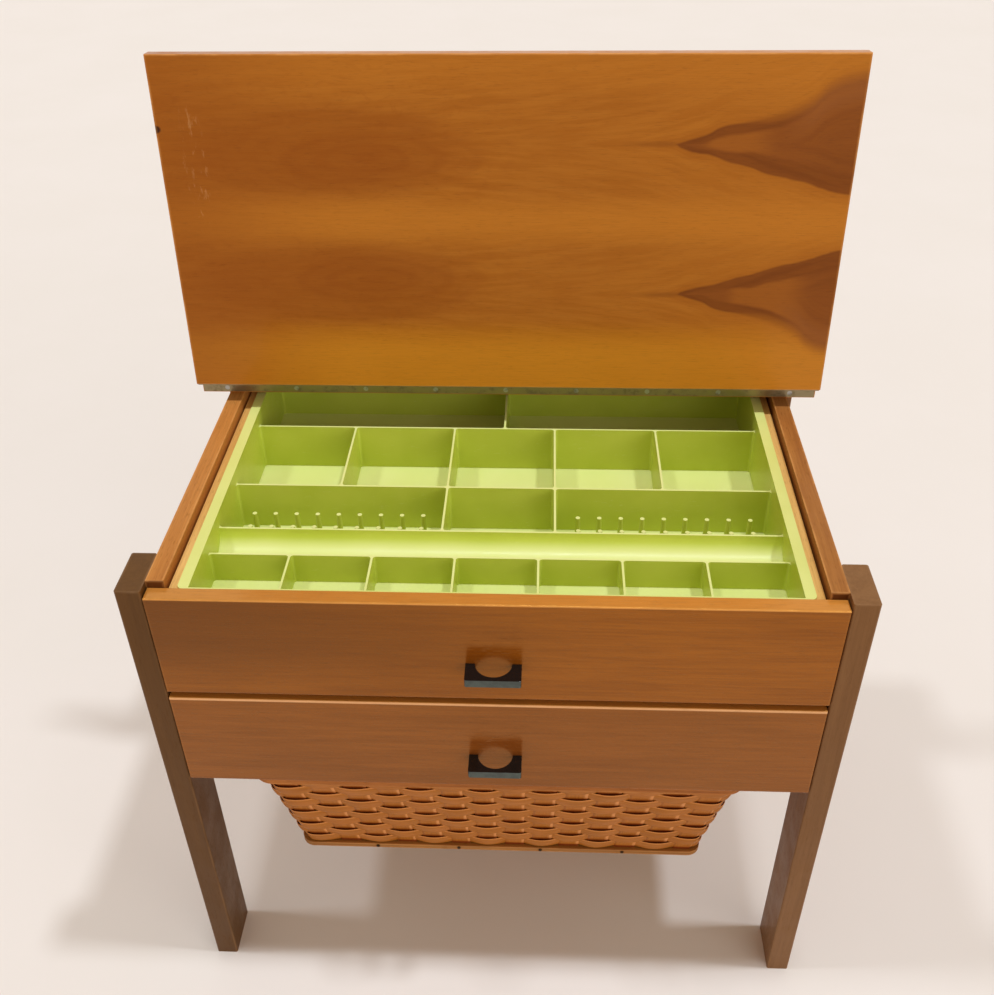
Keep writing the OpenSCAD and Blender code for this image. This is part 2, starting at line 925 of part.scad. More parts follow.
// Outer form of the tray before its compartments are cut
module tray_body() {
    flange_y = tray_flange_y1 - tray_y0;
    deep_y = spool_row_y - tray_wall;
    translate([-tray_x, tray_y0, tray_rim_z - tray_wall])
        linear_extrude(tray_wall)
            soft_rect(2 * tray_x, flange_y, 2 * cell_r);
    between([-wall_x, wall_x], [tray_y0, tray_y1], [partition_z, tray_rim_z]);
    between([-wall_x, wall_x], [deep_y, tray_y1], [deep_z - tray_wall, partition_z + eps]);
    between([-wall_x, wall_x], [tray_y0, trough_y], [shallow_z - tray_wall, partition_z + eps]);
    intersection() {
        translate([-wall_x, trough_y + trough_d / 2, partition_z])
            rotate([0, 90, 0])
                cylinder(r = trough_d / 2 + tray_wall, h = 2 * wall_x, $fn = round_fn);
        between([-wall_x, wall_x], [tray_y0, tray_y1], [deep_z, partition_z + eps]);
    }
}

// Spool row: two long compartments and, between them, one as wide as those of the middle row
module spool_row_cells() {
    for (cell = [[-cell_x, spool_cell_w], [-middle_cell_w / 2, middle_cell_w],
                 [middle_cell_w / 2 + tray_wall, spool_cell_w]])
        translate([cell[0], spool_row_y, deep_z])
            linear_extrude(tray_rim_z - deep_z)
                soft_rect(cell[1], spool_row_d, cell_r);
}

// Tapered pegs that hold the thread spools
module spool_pegs() {
    for (s = [-1, 1], i = [0 : peg_count - 1], row = [-0.5, 0.5])
        translate([
            s * peg_mid_x + (i - (peg_count - 1) / 2) * peg_pitch,
            peg_mid_y + row * peg_row_gap,
            deep_z - eps
        ])
            cylinder(r1 = peg_foot_r, r2 = peg_tip_r, h = peg_h + eps, $fn = round_fn);
}

module sewing_tray() {
    color(lime) {
        difference() {
            tray_body();
            between([-cell_x, cell_x], [front_row_y, tray_y1 - tray_wall],
                    [partition_z, tray_rim_z + 1]);
            cell_row(front_row_y, front_row_d, shallow_z, front_row_cells);
            cell_row(middle_row_y, middle_row_d, deep_z, middle_row_cells);
            cell_row(rear_row_y, rear_row_d, deep_z, rear_row_cells);
            spool_row_cells();
            translate([-cell_x, trough_y + trough_d / 2, partition_z])
                rotate([0, 90, 0])
                    cylinder(r = trough_d / 2, h = 2 * cell_x, $fn = round_fn);
        }
        spool_pegs();
    }
}

// Solid that narrows from the top outline to the bottom outline, drawn in by wall
module basket_form(wall, bottom) {
    hull() {
        translate([0, basket_mid_y, wall_top_z - eps])
            basket_outline(basket_w - 2 * wall, basket_d - 2 * wall, basket_r - wall);
        translate([0, basket_mid_y, bottom])
            basket_outline(board_w - 2 * wall, board_d - 2 * wall, basket_bottom_r - wall);
    }
}

module basket_outline(w, d, r) {
    for (x = [-1, 1], y = [-1, 1])
        translate([x * (w / 2 - r), y * (d / 2 - r), 0])
            cylinder(r = r, h = eps, $fn = hull_fn);
}

module basket_wall() {
    color(cane)
        difference() {
            basket_form(0, wall_bottom_z);
            translate([0, 0, eps])
                basket_form(weave_t, wall_bottom_z - 2 * eps);
            translate([0, basket_mid_y, wall_bottom_z - 1])
                plan_slab(board_w - 2 * weave_t, board_d - 2 * weave_t, basket_bottom_r - weave_t, 2);
        }
}

module basket_bottom_board() {
    color(teak_light)
        difference() {
            translate([0, basket_mid_y, wall_bottom_z - basket_board_t])
                plan_slab(board_w, board_d, basket_bottom_r, basket_board_t);
            at_nails()
                translate([0, 0, -1])
                    cylinder(r = nail_r + hole_clear, h = nail_l + 1, $fn = round_fn);
        }
}

module basket_rim() {
    color(teak)
        translate([0, basket_mid_y, wall_top_z])
            difference() {
                plan_slab(rim_w, rim_d, rim_r, rim_h);
                translate([0, 0, -1])
                    plan_slab(rim_w - 2 * rim_t, rim_d - 2 * rim_t, rim_r - rim_t, rim_h + 2);
            }
}

// Strip on the rim's side that runs in the guide batten
module basket_slide() {
    color(beech)
        between([rim_w / 2, rim_w / 2 + slide_w], [basket_mid_y - slide_l / 2, basket_mid_y + slide_l / 2],
                [slide_z, slide_z + slide_h]);
}

module left_basket_slide() {
    on_side(-1)
        basket_slide();
}

module right_basket_slide() {
    on_side(1)
        basket_slide();
}

module basket_nails() {
    color(steel)
        at_nails() {
            translate([0, 0, -nail_r])
                cylinder(r = nail_head_r, h = nail_r, $fn = round_fn);
            cylinder(r = nail_r, h = nail_l - hole_clear, $fn = round_fn);
        }
}

front_left_leg();
front_right_leg();
rear_left_leg();
rear_right_leg();
left_side_panel();
right_side_panel();
back_panel();
bottom_panel();
rear_top_board();
leg_screws();
back_panel_screws();
top_board_dowels();
upper_left_runner();
upper_right_runner();
lower_left_runner();
lower_right_runner();
runner_screws();
left_basket_guide();
right_basket_guide();
basket_guide_screws();
hinge_fixed_leaf();
hinge_pin();
hinge_fixed_screws();
lid_panel();
hinge_lid_leaf();
hinge_lid_screws();
upper_drawer_front();
upper_drawer_left_side();
upper_drawer_right_side();
upper_drawer_back();
upper_drawer_bottom();
upper_drawer_handle();
upper_handle_screws();
sewing_tray();
lower_drawer_front();
lower_drawer_left_side();
lower_drawer_right_side();
lower_drawer_back();
lower_drawer_bottom();
lower_drawer_handle();
lower_handle_screws();
basket_wall();
basket_bottom_board();
basket_rim();
left_basket_slide();
right_basket_slide();
basket_nails();
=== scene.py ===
# The sewing cabinet as it stands in the photo, with its lid raised. The frame brings the CAD solids, in
# metres, with +Z up and the drawer fronts towards -Y. This script gives them their materials, weaves the
# basket's wall out of real strips, and sets up the floor, the light and the camera.
import json
import math
import random

import bpy
from mathutils import Matrix, Vector


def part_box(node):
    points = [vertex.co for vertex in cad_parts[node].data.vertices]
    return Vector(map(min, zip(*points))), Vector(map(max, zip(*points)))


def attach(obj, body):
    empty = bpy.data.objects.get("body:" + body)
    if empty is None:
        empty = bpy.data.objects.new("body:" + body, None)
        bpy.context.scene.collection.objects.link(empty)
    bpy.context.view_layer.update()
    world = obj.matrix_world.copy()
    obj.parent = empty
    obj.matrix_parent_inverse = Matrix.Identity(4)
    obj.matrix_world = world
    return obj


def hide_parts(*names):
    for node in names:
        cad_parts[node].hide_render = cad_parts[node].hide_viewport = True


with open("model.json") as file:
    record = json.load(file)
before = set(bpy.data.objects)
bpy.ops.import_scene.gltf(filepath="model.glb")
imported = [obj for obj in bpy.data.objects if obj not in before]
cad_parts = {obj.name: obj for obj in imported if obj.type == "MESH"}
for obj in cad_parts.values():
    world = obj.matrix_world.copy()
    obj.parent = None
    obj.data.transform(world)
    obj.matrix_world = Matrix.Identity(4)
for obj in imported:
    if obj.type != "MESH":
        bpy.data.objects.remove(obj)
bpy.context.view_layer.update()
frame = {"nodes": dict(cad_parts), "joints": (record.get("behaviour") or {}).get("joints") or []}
NODES = frame["nodes"]

MM = 0.001
ALONG_X, ALONG_Y, ALONG_Z = 0, 1, 2


def tone(red, green, blue):
    """A screen colour, 0 to 255, as Blender's linear colour."""

    def linear(value):
        share = value / 255
        return share / 12.92 if share <= 0.04045 else ((share + 0.055) / 1.055) ** 2.4

    return (linear(red), linear(green), linear(blue), 1.0)


# Camera, as the photograph was taken
PHOTO_SIDE = 995
FOCAL_PX = 1098.961
SENSOR_MM = 36
CAMERA_AT = Vector((0.039896, -0.90805, 1.16965))
CAMERA_YAW = math.radians(-2.861)
CAMERA_DOWN = math.radians(36.472)
CAMERA_ROLL = math.radians(0.902)

# Room: the light that it gives, how bright it is where it is seen, and half the floor's side in metres
ROOM_LIGHT = (0.42, 0.355, 0.28, 1.0)
ROOM_SEEN = (0.93, 0.91, 0.89, 1.0)
FLOOR_HALF = 8.0

# Lamps: name, the way towards the lamp, the angle it fills in degrees, its level and its colour
CEILING_WHITE = (0.86, 0.95, 1.05)
PLAIN_WHITE = (1.0, 1.0, 1.0)
LAMPS = (
    ("ceiling", (0.0, 0.0, 1.0), 6, 0.2, CEILING_WHITE),
    ("ceiling_right", (0.36, 0.0, 1.0), 4, 0.31, CEILING_WHITE),
    ("ceiling_left", (-0.48, 0.0, 1.0), 5, 0.18, CEILING_WHITE),
    ("fill", (1.4, -1.1, 0.5), 28, 0.13, PLAIN_WHITE),
    ("front", (0.9, -1.9, 0.7), 28, 0.095, PLAIN_WHITE),
)

# Light and dark tone of each kind of board
# The left legs are painted darker and the right legs lighter: painted shade and painted light, as if lit
# from the right
LEG_LEFT_SHADED = (tone(98, 64, 30), tone(86, 55, 25))
LEG_RIGHT_LIT = (tone(135, 94, 57), tone(119, 80, 46))
PANEL_LEFT = (tone(202, 134, 65), tone(181, 113, 50))
PANEL_RIGHT = (tone(178, 117, 57), tone(155, 95, 43))
REAR_BOARD = (tone(196, 122, 42), tone(172, 98, 30))
PLYWOOD = (tone(196, 156, 104), tone(166, 124, 76))
DOWEL = (tone(206, 168, 116), tone(176, 134, 84))
UPPER_FRONT = (tone(162, 89, 19), tone(135, 67, 9))
LOWER_FRONT = (tone(147, 80, 27), tone(124, 62, 17))
DRAWER_WOOD = (tone(240, 192, 114), tone(214, 162, 86))
BATTEN = (tone(200, 158, 104), tone(170, 124, 74))
BASKET_RIM = (tone(184, 110, 46), tone(150, 84, 32))
BASKET_BOARD = (tone(178, 120, 58), tone(148, 94, 42))

# Edges painted pale, partly as rubbing and partly as painted highlight; painted shade on the side panels'
# front ends; pores and gloss of the woods
RUBBED_EDGE_AND_HIGHLIGHT = tone(226, 160, 92)
LEG_EDGE = tone(160, 122, 86)
END_PAINTED_SHADE = tone(84, 44, 20)
PORE = tone(60, 26, 8)
WOOD_GLINT = tone(255, 206, 146)
FRONT_GLINT = tone(255, 196, 100)

# Drawer fronts: the painted highlight on their top edge and the painted highlight line below it on each,
# and the painted shade that the upper one darkens to, with where it starts and where it is deepest
FRONT_TOP_HIGHLIGHT = tone(236, 158, 70)
UPPER_HIGHLIGHT_H = 1.0 * MM
UPPER_HIGHLIGHT_LINE = tone(222, 150, 80)
LOWER_HIGHLIGHT_H = 2.6 * MM
LOWER_HIGHLIGHT_LINE = tone(250, 190, 138)
FRONT_PAINTED_SHADE = tone(95, 40, 7)
FRONT_SHADE_START_X = 220 * MM
FRONT_SHADE_DEEPEST_X = -330 * MM

# Lid's veneer
LID_GOLD = tone(188, 114, 34)
LID_MID = tone(180, 106, 28)
LID_DEEP = tone(173, 99, 22)
# The bright tone is also painted light towards the right end, and the low tone painted light towards the
# hinge
LID_BRIGHT = tone(204, 126, 37)
LID_LOW_PAINTED_LIGHT = tone(218, 142, 41)
LID_OVAL = tone(151, 76, 8)
LID_FLAME = tone(139, 73, 22)
LID_HEART = tone(166, 94, 28)
LID_HAZE = tone(158, 92, 42)
LID_CONTOUR = tone(126, 63, 14)
LID_KNOT = tone(60, 22, 10)
LID_SCUFF = tone(230, 176, 116)

# Split cane of the basket, with a painted highlight on the strips' top edges and painted shade on their
# low edges and in the pockets
CANE_DARK = tone(158, 91, 26)
CANE_LIGHT = tone(181, 111, 33)
CANE_TUFT = tone(166, 95, 26)
CANE_PALE = tone(188, 113, 48)
CANE_TOP_HIGHLIGHT = tone(224, 150, 86)
CANE_LOW_SHADE = tone(120, 58, 20)
CANE_POCKET_SHADE = tone(128, 54, 18)
CANE_GLINT = tone(255, 214, 160)

# Hinge, from the frame: its pin, and how far the raised lid stands open
HINGE = next(joint for joint in frame["joints"] if joint["name"] == "lid_hinge")
PIN = Vector(HINGE["pos_m"])
LID_OPEN = math.radians(HINGE["range_deg"][1])


def lid_box():
    """Lowest and highest corner of the lid as if it were shut."""
    turn = Matrix.Rotation(LID_OPEN, 3, "X")
    shut = [PIN + turn @ (vertex.co - PIN) for vertex in NODES["lid_panel"].data.vertices]
    return tuple(Vector([pick(at[i] for at in shut) for i in range(3)]) for pick in (min, max))


LID_BOX = lid_box()

# Figure of the lid's veneer. On the shut lid, q is the distance from the pin towards the front edge, and v
# the distance from the line that its two halves mirror each other in. The flames' tips point to the left.
MIRROR_Q = 181 * MM
FLAME_V = 74 * MM
TIP_X_LOW = 172 * MM
TIP_X_HIGH = 161 * MM

# Half-width of the flames, in millimetres, at distances from their tips towards the right, on the side
# away from the mirror line and on the side next to it
FLAME_TAIL = ((-480, -34), (-200, -22), (-60, -10), (0, 0))
FLAME_OUTER = FLAME_TAIL + (
    (15, 4.3), (29, 8.6), (41, 15), (51, 17.8), (66, 20), (80, 22), (95, 25), (109, 30), (124, 38),
    (139, 52), (154, 58.5), (181, 63.5),
)
FLAME_INNER = FLAME_TAIL + (
    (7, 3.5), (22, 7.8), (34, 9.5), (46, 13.5), (59, 18), (73, 21.5), (85, 26), (95, 29.5), (109, 33),
    (124, 37), (139, 42), (154, 46), (181, 48),
)
# Width of the dark band inside each outline, at the same distances
BAND_OUTER = ((0, 3), (30, 7), (45, 9), (110, 8), (181, 8))
BAND_INNER = ((0, 3), (30, 5), (58, 10.5), (84, 15), (181, 16))
# Lowest and highest result that the flames' curves and the bands' curves can give, in millimetres
FLAME_RANGE = (-40, 70)
BAND_RANGE = (0, 20)

# Dark ovals on the left: middle x and v, half-width, half-height, strength
OVALS = (
    (-170 * MM, 65 * MM, 170 * MM, 52 * MM, 0.5),
    (-155 * MM, 58 * MM, 75 * MM, 28 * MM, 0.35),
)
# Rings in the ovals: middle, half-size, and the angle that their sine reaches there, in radians
RINGS_X, RINGS_V = -133 * MM, 60 * MM
RINGS_HALF_X, RINGS_HALF_V = 80 * MM, 21 * MM
RINGS_SINE = 15.0
# Knot and scuffed patch by the left edge: middle x and q, half-width, half-height, strength
KNOT = (-331 * MM, 268 * MM, 6 * MM, 4.5 * MM, 1.0)
SCUFFED = (-298 * MM, 235 * MM, 14 * MM, 75 * MM, 0.25)

# Height of the tray's flange
FLANGE_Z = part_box("sewing_tray")[1].z

# Handles, and how far their sharp edges are rounded
HANDLES = ("upper_drawer_handle", "lower_drawer_handle")
HANDLE_EDGE = 0.6 * MM
# Edges whose faces turn by more than this count as sharp
SHARP_ANGLE = math.radians(50)


def half_size(name):
    """Half the width and half the depth of a CAD node."""
    low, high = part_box(name)
    return (high.x - low.x) / 2, (high.y - low.y) / 2


# Woven wall of the basket, from the frame: heights, and half-width, half-depth and corner radius at its
# top and at its bottom
WALL_LOW, WALL_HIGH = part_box("basket_wall")
WALL_MID_Y = (WALL_LOW.y + WALL_HIGH.y) / 2
WALL_TOP = (*half_size("basket_wall"), 18 * MM)
WALL_BOTTOM = (*half_size("basket_bottom_board"), 14 * MM)

# Stakes: how many stand along the front, a side and a corner, and all round. STAKE_EVEN, when below 1,
# sets them closer in the middle of a side than at its ends. STAKE_LEAN is how far their feet are shifted
# round the basket, in stakes, and STAKE_BACK how far inside the weave's middle they stand.
FRONT_STAKES = 13.4
SIDE_STAKES = 11.0
CORNER_STAKES = 0.8
STAKES = round(2 * (FRONT_STAKES + SIDE_STAKES) + 4 * CORNER_STAKES)
STAKE_EVEN = 0.955
STAKE_LEAN = 0.06
STAKE_W = 23 * MM
STAKE_T = 0.8 * MM
STAKE_CROWN = 0.2 * MM
STAKE_BACK = 0.4 * MM
STAKE_PITCH = 32 * MM
STAKE_STEPS = 50

# Rows of weavers. WEAVE_DEPTH is how far inside the CAD wall's face the weave's middle lies, WAVE how
# far the weavers swing out and in, and WAVE_UP how far they stray up and down.
ROWS = 11
FIRST_ROW_Z = 157.3 * MM
ROW_PITCH = 11.75 * MM
ROW_GROWTH = 0.03 * MM
ROW_LAP = 0.2 * MM
SPLINT_H = 12.4 * MM
SPLINT_T = 1.1 * MM
SPLINT_CROWN = 0.45 * MM
SPLINT_SHOULDER = 0.7 * MM
WEAVE_DEPTH = 4.2 * MM
WAVE = 2.5 * MM
WAVE_UP = 0.35 * MM
STEPS_PER_STAKE = 12


class Graph:
    """A Principled material whose nodes are made with short calls."""

    def __init__(self, name):
        self.material = bpy.data.materials.new(name)
        self.material.use_nodes = True
        self.tree = self.material.node_tree
        self.tree.nodes.clear()
        self.shader = self.add("ShaderNodeBsdfPrincipled")
        output = self.add("ShaderNodeOutputMaterial")
        self.tree.links.new(self.shader.outputs["BSDF"], output.inputs["Surface"])
        self.place = self.add("ShaderNodeTexCoord").outputs["Object"]

    def add(self, kind, **settings):
        node = self.tree.nodes.new(kind)
        for key, value in settings.items():
            setattr(node, key, value)
        return node

    def feed(self, socket, value):
        if isinstance(value, bpy.types.NodeSocket):
            self.tree.links.new(value, socket)
        else:
            socket.default_value = value

    def finish(self, **values):
        """Sets the shader's sockets, whose names are written with _ for a space."""
        for key, value in values.items():
            self.feed(self.shader.inputs[key.replace("_", " ")], value)
        return self.material

    def math(self, operation, a, b=0.0, clamp=False):
        node = self.add("ShaderNodeMath", operation=operation, use_clamp=clamp)
        self.feed(node.inputs[0], a)
        self.feed(node.inputs[1], b)
        return node.outputs[0]

    def plus(self, a, b, clamp=False):
        return self.math("ADD", a, b, clamp)

    def minus(self, a, b):
        return self.math("SUBTRACT", a, b)

    def times(self, a, b):
        return self.math("MULTIPLY", a, b)

    def over(self, a, b, clamp=False):
        return self.math("DIVIDE", a, b, clamp)

    def absolute(self, a):
        return self.math("ABSOLUTE", a)

    def vector(self, operation, a, b):
        node = self.add("ShaderNodeVectorMath", operation=operation)
        self.feed(node.inputs[0], a)
        self.feed(node.inputs[1], b)
        return node.outputs[0]

    def parts(self, vector):
        node = self.add("ShaderNodeSeparateXYZ")
        self.feed(node.inputs[0], vector)
        return node.outputs[0], node.outputs[1], node.outputs[2]

    def join(self, x, y, z):
        node = self.add("ShaderNodeCombineXYZ")
        for socket, value in zip(node.inputs, (x, y, z)):
            self.feed(socket, value)
        return node.outputs[0]

    def plane(self, x, y, share_x=1.0, share_y=1.0):
        """A place in a plane. A texture is drawn out along an axis whose share is below 1."""
        return self.join(self.times(x, share_x), self.times(y, share_y), 0.0)

    def noise(self, place, size, detail=2.0, rough=0.5, twist=0.0):
        """Noise whose lumps are about size metres across."""
        node = self.add("ShaderNodeTexNoise")
        self.feed(node.inputs["Vector"], place)
        node.inputs["Scale"].default_value = 1 / size
        node.inputs["Detail"].default_value = detail
        node.inputs["Roughness"].default_value = rough
        node.inputs["Distortion"].default_value = twist
        return node.outputs["Fac"]

    def smooth(self, value, start, end, low=0.0, high=1.0):
        """Turns smoothly from low at start to high at end."""
        node = self.add("ShaderNodeMapRange", interpolation_type="SMOOTHSTEP")
        for socket, x in zip(node.inputs, (value, start, end, low, high)):
            self.feed(socket, x)
        return node.outputs[0]

    def mix(self, share, a, b):
        node = self.add("ShaderNodeMix", data_type="RGBA")
        self.feed(node.inputs[0], share)
        self.feed(node.inputs[6], a)
        self.feed(node.inputs[7], b)
        return node.outputs[2]

    def curve(self, value, low, high, points):
        """A drawn curve through points (value, result). Results stay between low and high."""
        first, last = points[0][0], points[-1][0]
        node = self.add("ShaderNodeFloatCurve")
        curve = node.mapping.curves[0]
        for i, (x, y) in enumerate(points):
            at = ((x - first) / (last - first), (y - low) / (high - low))
            if i < 2:
                curve.points[i].location = at
            else:
                curve.points.new(*at)
        node.mapping.update()
        self.feed(node.inputs["Value"], self.over(self.minus(value, first), last - first, clamp=True))
        return self.plus(self.times(node.outputs[0], high - low), low)

    def oval(self, x, y, mid_x, mid_y, half_x, half_y, most):
        """most in the middle of an oval, falling to 0 at its outline."""
        across = self.over(self.minus(x, mid_x), half_x)
        up = self.over(self.minus(y, mid_y), half_y)
        far = self.plus(self.times(across, across), self.times(up, up))
        return self.smooth(far, 1.0, 0.3, 0.0, most)

    def bump(self, height, depth, strength):
        node = self.add("ShaderNodeBump")
        node.inputs["Strength"].default_value = strength
        node.inputs["Distance"].default_value = depth
        self.feed(node.inputs["Height"], height)
        return node.outputs[0]

    def drawn_out(self, place, axis, share, seed):
        """The place with one axis squeezed, so that a texture is drawn out along it."""
        squeeze = [1.0, 1.0, 1.0]
        squeeze[axis] = share
        moved = self.vector("ADD", place, (seed * 1.7, seed * 2.3, seed * 3.1))
        return self.vector("MULTIPLY", moved, tuple(squeeze))

    def edge(self, place, low, high, reach):
        """1 on the edges of the box from low to high, falling to 0 at reach from them."""
        near = []
        for value, a, b in zip(self.parts(place), low, high):
            near.append(self.math("MINIMUM", self.minus(value, a), self.minus(b, value)))
        small = self.math("MINIMUM", near[0], near[1])
        large = self.math("MAXIMUM", near[0], near[1])
        middle = self.math("MAXIMUM", small, self.math("MINIMUM", large, near[2]))
        return self.smooth(middle, reach, 0.0)


# A colouring is a function paint(g, where, seed) that returns a colour


def grain(light, dark, axis, band=14 * MM):
    """Colouring of plain boards: bands with finer streaks, drawn out along axis."""
    streak_share = 0.45

    def paint(g, where, seed):
        bands = g.noise(g.drawn_out(where, axis, 0.06, seed), band, 3.0, 0.55, 0.5)
        streaks = g.noise(g.drawn_out(where, axis, 0.03, seed + 1), band * 0.2, 2.0, 0.6)
        broad = g.noise(g.drawn_out(where, axis, 0.4, seed + 4), 120 * MM, 2.0)
        share = g.times(g.smooth(bands, 0.3, 0.7), 1 - streak_share)
        share = g.plus(share, g.times(g.smooth(streaks, 0.3, 0.7), streak_share))
        share = g.plus(share, g.smooth(broad, 0.3, 0.7, -0.25, 0.25), clamp=True)
        return g.mix(share, dark, light)

    return paint


def with_painted_end_shade(paint, front_y):
    """The same colouring, with the front end face painted dark as painted shade."""

    def end_shaded(g, where, seed):
        # painted shade on the panel's front end face
        end = g.smooth(g.parts(where)[1], front_y + 1.5 * MM, front_y + 0.4 * MM, 0.0, 0.9)
        return g.mix(end, paint(g, where, seed), END_PAINTED_SHADE)

    return end_shaded


def with_painted_shade_left(paint, low_z, high_z):
    """The same colouring with painted shade: darker towards the left end of the board, most of all in its
    upper half.
    """

    def shaded_left(g, where, seed):
        x, _, z = g.parts(where)
        # painted shade towards the left end
        share = g.smooth(x, FRONT_SHADE_START_X, FRONT_SHADE_DEEPEST_X, 0.0, 0.85)
        height = g.smooth(z, low_z, low_z + 0.6 * (high_z - low_z), 0.3, 1.0)
        return g.mix(g.times(share, height), paint(g, where, seed), FRONT_PAINTED_SHADE)

    return shaded_left


def with_painted_top_highlight(paint, top_z, highlight_h, highlight_tone):
    """The same colouring, with a painted highlight: a paler top edge and a pale line of the given height
    below it.
    """

    def highlighted(g, where, seed):
        z = g.parts(where)[2]
        plain = paint(g, where, seed)
        # painted highlight on the top edge and along the line below it
        line = g.smooth(z, top_z - highlight_h - 0.6 * MM, top_z - highlight_h + 0.4 * MM, 0.0, 0.9)
        top_highlight = g.smooth(z, top_z - 0.6 * MM, top_z - 0.2 * MM)
        return g.mix(top_highlight, g.mix(line, plain, highlight_tone), g.mix(0.6, plain, FRONT_TOP_HIGHLIGHT))

    return highlighted


def wood(name, paint, axis, seed, box, place=None, rough=0.42, coat=0.0, worn=0.35, fine=0.12,
         edge_tone=RUBBED_EDGE_AND_HIGHLIGHT, gloss=0.3, glint=WOOD_GLINT):
    """Lacquered wood: painted figure, fibres and pores along axis, and the box's edges painted pale,
    partly as rubbing and partly as painted highlight.
    """
    g = Graph(name)
    where = place(g) if place else g.place
    fibres = g.noise(g.drawn_out(where, axis, 0.035, seed + 2), 1.1 * MM, 2.0, 0.5)
    pores = g.smooth(g.noise(g.drawn_out(where, axis, 0.09, seed + 3), 0.9 * MM, 1.0), 0.60, 0.70)
    marks = g.noise(where, 35 * MM, 4.0, 0.65)
    shade = g.plus(g.smooth(fibres, 0.4, 0.75, 0.0, fine), g.times(pores, 1.6 * fine))
    colour = g.mix(shade, paint(g, where, seed), PORE)
    # Edges painted pale: partly rubbing, partly painted highlight
    rubbed_and_highlit = g.times(g.edge(where, *box, 2.4 * MM), g.smooth(marks, 0.4, 0.6, 0.35, 1.0))
    colour = g.mix(g.times(rubbed_and_highlit, worn), colour, edge_tone)
    sheen = g.plus(g.smooth(marks, 0.3, 0.7, rough - 0.05, rough + 0.09), g.times(pores, 0.15))
    return g.finish(
        Base_Color=colour,
        Roughness=sheen,
        Specular_IOR_Level=gloss,
        Specular_Tint=glint,
        Coat_Weight=coat,
        Coat_Roughness=0.1,
        Normal=g.bump(g.minus(g.times(fibres, 0.6), pores), 0.1 * MM, 0.35),
    )


def shut_lid(g):
    """The place on the lid as if the lid were shut."""
    turn = g.add("ShaderNodeVectorRotate", rotation_type="X_AXIS")
    g.feed(turn.inputs["Vector"], g.place)
    turn.inputs["Center"].default_value = PIN
    turn.inputs["Angle"].default_value = LID_OPEN
    return turn.outputs[0]


class Figure:
    """Node sockets that say where a place lies in the figure of the lid's veneer.

    x, q and v are its place on the shut lid. s is how far it is from its flame's tip towards the right, w
    how far from the flame's middle line, with + away from the mirror line, and off how far outside the
    flame's outline. inner_face is 1 on the face that the raised lid shows.
    """

    def __init__(self, g, where):
        self.g = g
        self.x, y, z = g.parts(where)
        self.q = g.minus(PIN.y, y)
        self.v = g.absolute(g.minus(self.q, MIRROR_Q))
        self.high = g.smooth(self.q, MIRROR_Q - 10 * MM, MIRROR_Q + 10 * MM)
        self.inner_face = g.smooth(z, LID_BOX[0].z + 3 * MM, LID_BOX[0].z + 1 * MM)
        plane = g.plane(self.x, self.q, 0.5)
        self.slow = g.times(g.minus(g.noise(plane, 60 * MM, 2.0), 0.5), 12 * MM)
        quick = g.times(g.minus(g.noise(plane, 9 * MM, 3.0), 0.5), 4 * MM)
        warp = g.plus(self.slow, quick)
        self.s = g.minus(g.plus(self.x, warp), self.by_flame(TIP_X_LOW, TIP_X_HIGH))
        self.w = g.plus(g.minus(self.v, FLAME_V), g.times(warp, 0.3))
        self.outer = g.math("GREATER_THAN", self.w, 0.0)
        self.off = g.minus(g.absolute(self.w), self.drawn(FLAME_RANGE, FLAME_OUTER, FLAME_INNER))
        self.lines = g.smooth(g.noise(g.plane(self.x, self.off, 0.09), 7 * MM, 3.0, 0.6), 0.35, 0.65)

    def by_flame(self, low_value, high_value):
        """One value at the flame near the hinge, and another at the one near the front edge."""
        return self.g.plus(low_value, self.g.times(self.high, high_value - low_value))

    def drawn(self, limits, outer_points, inner_points):
        """The curve of the side that the place is on, drawn through points in millimetres."""
        g = self.g
        low, high = limits
        outer = g.curve(self.s, low * MM, high * MM, [(a * MM, b * MM) for a, b in outer_points])
        inner = g.curve(self.s, low * MM, high * MM, [(a * MM, b * MM) for a, b in inner_points])
        return g.plus(g.times(outer, self.outer), g.times(inner, g.minus(1.0, self.outer)))


def veneer_rings(g, x, v):
    """Rings in the ovals, fading away from their middle."""
    across = g.over(g.minus(x, RINGS_X), RINGS_HALF_X)
    up = g.over(g.minus(v, RINGS_V), RINGS_HALF_V)
    far = g.math("SQRT", g.plus(g.times(across, across), g.times(up, up)))
    rings = g.smooth(g.math("SINE", g.times(far, RINGS_SINE)), -0.2, 1.0)
    return g.times(rings, g.smooth(far, 2.2, 0.5, 0.0, 0.3))


